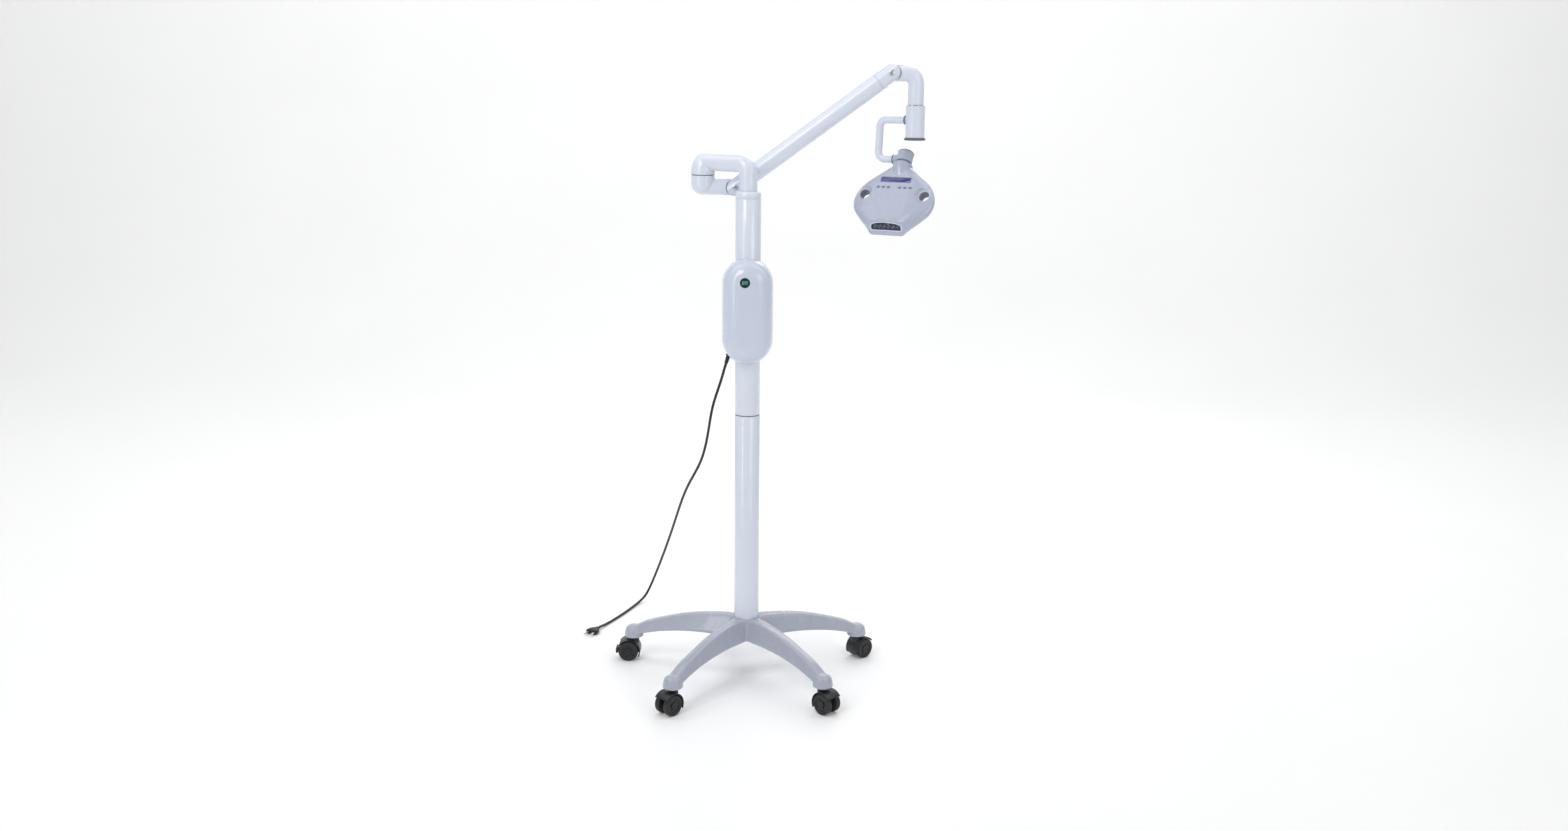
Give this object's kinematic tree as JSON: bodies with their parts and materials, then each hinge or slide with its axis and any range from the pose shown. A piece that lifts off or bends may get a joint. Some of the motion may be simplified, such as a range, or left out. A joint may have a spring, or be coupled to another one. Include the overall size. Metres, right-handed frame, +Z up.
{
  "type": "mobile LED whitening lamp",
  "caption": "Mobile light on a five-arm castor base: column with power box, gooseneck, levelled boom, drop tube, yoke and tilting LED head with keys and display.",
  "frame": {"origin": "floor level under the middle of the bounding box of everything but the cord and its plug", "axes": "+Z up, -Y towards the user who faces the control panel, +X towards the lamp head"},
  "size_m": [0.8685, 0.7931, 1.4831],
  "materials": {
    "gloss_white": "gloss paint",
    "base_white": "gloss paint",
    "head_white": "gloss",
    "box_white": "gloss",
    "black": "matte",
    "rubber": "matte",
    "dark_ring": "satin",
    "steel": "satin",
    "green": "clear gloss",
    "lcd": "gloss",
    "button": "matte",
    "smoke": "gloss",
    "board": "matte",
    "chrome": "polished"
  },
  "bodies": {
    "base": {"base_star": "base_white", "column_lower_tube": "gloss_white", "column_joint_spigot": "dark_ring", "column_upper_tube": "gloss_white", "column_top_cap": "gloss_white", "box_front_cover": "box_white", "box_back_cover": "box_white", "power_supply_module": "board", "switch_bezel": "black", "cord_gland": "black", "power_cord": "rubber", "plug_body": "rubber", "plug_pin_line": "steel", "plug_pin_neutral": "steel"},
    "gooseneck": {"gooseneck_arm": "gloss_white", "swivel_washer": "dark_ring"},
    "elbow": {"swivel_elbow": "gloss_white"},
    "boom": {"boom_fork_lower": "gloss_white", "boom_tube": "gloss_white", "boom_fork_upper": "gloss_white", "boom_pin_lower": "steel", "boom_pin_upper": "steel"},
    "levelling_link": {"levelling_link_rod": "steel"},
    "drop_elbow": {"drop_elbow": "gloss_white", "drop_swivel_ring": "chrome"},
    "drop_tube": {"drop_tube": "gloss_white", "drop_end_cap": "dark_ring"},
    "yoke": {"yoke_tube": "gloss_white", "yoke_upper_collar": "dark_ring", "yoke_lower_collar": "dark_ring"},
    "head": {"tilt_neck_barrel": "head_white", "head_front_shell": "head_white", "head_back_shell": "head_white", "lcd_window": "lcd", "control_board": "board", "light_window": "smoke", "led_reflector_board": "chrome"},
    "switch_rocker": {"power_switch_rocker": "green"},
    "key_power": {"key_power": "button"},
    "key_start": {"key_start": "button"},
    "key_pause": {"key_pause": "button"},
    "key_time_down": {"key_time_down": "button"},
    "key_time_up": {"key_time_up": "button"},
    "key_mode": {"key_mode": "button"},
    "castor_left": {"castor_left_housing": "black"},
    "castor_left_wheel_a": {"castor_left_wheel_a": "rubber"},
    "castor_left_wheel_b": {"castor_left_wheel_b": "rubber"},
    "castor_left_brake": {"castor_left_brake_lever": "black"},
    "castor_front_left": {"castor_front_left_housing": "black"},
    "castor_front_left_wheel_a": {"castor_front_left_wheel_a": "rubber"},
    "castor_front_left_wheel_b": {"castor_front_left_wheel_b": "rubber"},
    "castor_front_right": {"castor_front_right_housing": "black"},
    "castor_front_right_wheel_a": {"castor_front_right_wheel_a": "rubber"},
    "castor_front_right_wheel_b": {"castor_front_right_wheel_b": "rubber"},
    "castor_right": {"castor_right_housing": "black"},
    "castor_right_wheel_a": {"castor_right_wheel_a": "rubber"},
    "castor_right_wheel_b": {"castor_right_wheel_b": "rubber"},
    "castor_back": {"castor_back_housing": "black"},
    "castor_back_wheel_a": {"castor_back_wheel_a": "rubber"},
    "castor_back_wheel_b": {"castor_back_wheel_b": "rubber"}
  },
  "joints": [
    {"name": "column_swivel", "type": "hinge", "parent": "base", "child": "gooseneck", "pos_m": [-0.04914, -0.02444, 1.192], "axis": [0, 0, 1], "range_deg": [-175, 175]},
    {"name": "elbow_swivel", "type": "hinge", "parent": "gooseneck", "child": "elbow", "pos_m": [-0.15794, 0.03356, 1.2252], "axis": [0, 0, 1], "range_deg": [-6, 300]},
    {"name": "boom_pitch", "type": "hinge", "parent": "elbow", "child": "boom", "pos_m": [-0.08114, 0.03356, 1.197], "axis": [0, 1, 0], "range_deg": [-9, 70]},
    {"name": "levelling_link_pitch", "type": "hinge", "parent": "elbow", "child": "levelling_link", "pos_m": [-0.08114, 0.03356, 1.207], "axis": [0, 1, 0], "range_deg": [-9, 70]},
    {"name": "drop_levelling", "type": "hinge", "parent": "boom", "child": "drop_elbow", "pos_m": [0.28056, 0.03356, 1.4633], "axis": [0, 1, 0], "range_deg": [-70, 9]},
    {"name": "drop_swivel", "type": "hinge", "parent": "drop_elbow", "child": "drop_tube", "pos_m": [0.33886, 0.03356, 1.39], "axis": [0, 0, 1], "range_deg": [-170, 170]},
    {"name": "yoke_swing", "type": "hinge", "parent": "drop_tube", "child": "yoke", "pos_m": [0.33886, 0.03356, 1.356], "axis": [-0.8957, 0.4446, 0], "range_deg": [-40, 40]},
    {"name": "head_tilt", "type": "hinge", "parent": "yoke", "child": "head", "pos_m": [0.31719, 0.04432, 1.2642], "axis": [0.8957, -0.4446, 0], "range_deg": [-50, 35]},
    {"name": "power_switch_rock", "type": "hinge", "parent": "base", "child": "switch_rocker", "pos_m": [-0.05414, -0.09594, 0.987], "axis": [1, 0, 0], "range_deg": [0, 12]},
    {"name": "key_power_press", "type": "slide", "parent": "head", "child": "key_power", "axis": [0.3737, 0.7529, -0.5417], "range_m": [0, 0.0008], "stiffness_N_per_m": 300},
    {"name": "key_start_press", "type": "slide", "parent": "head", "child": "key_start", "axis": [0.3737, 0.7529, -0.5417], "range_m": [0, 0.0008], "stiffness_N_per_m": 300},
    {"name": "key_pause_press", "type": "slide", "parent": "head", "child": "key_pause", "axis": [0.3737, 0.7529, -0.5417], "range_m": [0, 0.0008], "stiffness_N_per_m": 300},
    {"name": "key_time_down_press", "type": "slide", "parent": "head", "child": "key_time_down", "axis": [0.3737, 0.7529, -0.5417], "range_m": [0, 0.0008], "stiffness_N_per_m": 300},
    {"name": "key_time_up_press", "type": "slide", "parent": "head", "child": "key_time_up", "axis": [0.3737, 0.7529, -0.5417], "range_m": [0, 0.0008], "stiffness_N_per_m": 300},
    {"name": "key_mode_press", "type": "slide", "parent": "head", "child": "key_mode", "axis": [0.3737, 0.7529, -0.5417], "range_m": [0, 0.0008], "stiffness_N_per_m": 300},
    {"name": "castor_left_swivel", "type": "hinge", "parent": "base", "child": "castor_left", "pos_m": [-0.33611, 0.05512, 0.062], "axis": [0, 0, 1], "continuous": true},
    {"name": "castor_left_wheel_a_roll", "type": "hinge", "parent": "castor_left", "child": "castor_left_wheel_a", "pos_m": [-0.35011, 0.05512, 0.025], "axis": [0, -1, 0], "continuous": true},
    {"name": "castor_left_wheel_b_roll", "type": "hinge", "parent": "castor_left", "child": "castor_left_wheel_b", "pos_m": [-0.35011, 0.05512, 0.025], "axis": [0, -1, 0], "continuous": true},
    {"name": "castor_left_brake_press", "type": "hinge", "parent": "castor_left", "child": "castor_left_brake", "pos_m": [-0.35011, 0.05512, 0.025], "axis": [0, -1, 0], "range_deg": [0, 18]},
    {"name": "castor_front_left_swivel", "type": "hinge", "parent": "base", "child": "castor_front_left", "pos_m": [-0.21349, -0.27278, 0.062], "axis": [0, 0, 1], "continuous": true},
    {"name": "castor_front_left_wheel_a_roll", "type": "hinge", "parent": "castor_front_left", "child": "castor_front_left_wheel_a", "pos_m": [-0.22303, -0.28302, 0.025], "axis": [0.7314, -0.682, 0], "continuous": true},
    {"name": "castor_front_left_wheel_b_roll", "type": "hinge", "parent": "castor_front_left", "child": "castor_front_left_wheel_b", "pos_m": [-0.22303, -0.28302, 0.025], "axis": [0.7314, -0.682, 0], "continuous": true},
    {"name": "castor_front_right_swivel", "type": "hinge", "parent": "base", "child": "castor_front_right", "pos_m": [0.13626, -0.25749, 0.062], "axis": [0, 0, 1], "continuous": true},
    {"name": "castor_front_right_wheel_a_roll", "type": "hinge", "parent": "castor_front_right", "child": "castor_front_right_wheel_a", "pos_m": [0.14616, -0.26739, 0.025], "axis": [0.7071, 0.7071, 0], "continuous": true},
    {"name": "castor_front_right_wheel_b_roll", "type": "hinge", "parent": "castor_front_right", "child": "castor_front_right_wheel_b", "pos_m": [0.14616, -0.26739, 0.025], "axis": [0.7071, 0.7071, 0], "continuous": true},
    {"name": "castor_right_swivel", "type": "hinge", "parent": "base", "child": "castor_right", "pos_m": [0.2298, 0.07987, 0.062], "axis": [0, 0, 1], "continuous": true},
    {"name": "castor_right_wheel_a_roll", "type": "hinge", "parent": "castor_right", "child": "castor_right_wheel_a", "pos_m": [0.2402, 0.08924, 0.025], "axis": [-0.6691, 0.7431, 0], "continuous": true},
    {"name": "castor_right_wheel_b_roll", "type": "hinge", "parent": "castor_right", "child": "castor_right_wheel_b", "pos_m": [0.2402, 0.08924, 0.025], "axis": [-0.6691, 0.7431, 0], "continuous": true},
    {"name": "castor_back_swivel", "type": "hinge", "parent": "base", "child": "castor_back", "pos_m": [-0.06215, 0.27307, 0.062], "axis": [0, 0, 1], "continuous": true},
    {"name": "castor_back_wheel_a_roll", "type": "hinge", "parent": "castor_back", "child": "castor_back_wheel_a", "pos_m": [-0.06044, 0.28697, 0.025], "axis": [-0.9925, 0.1219, 0], "continuous": true},
    {"name": "castor_back_wheel_b_roll", "type": "hinge", "parent": "castor_back", "child": "castor_back_wheel_b", "pos_m": [-0.06044, 0.28697, 0.025], "axis": [-0.9925, 0.1219, 0], "continuous": true}
  ],
  "couplings": [
    {"joint": "levelling_link_pitch", "follows": "boom_pitch", "ratio": 1},
    {"joint": "drop_levelling", "follows": "boom_pitch", "ratio": -1}
  ]
}
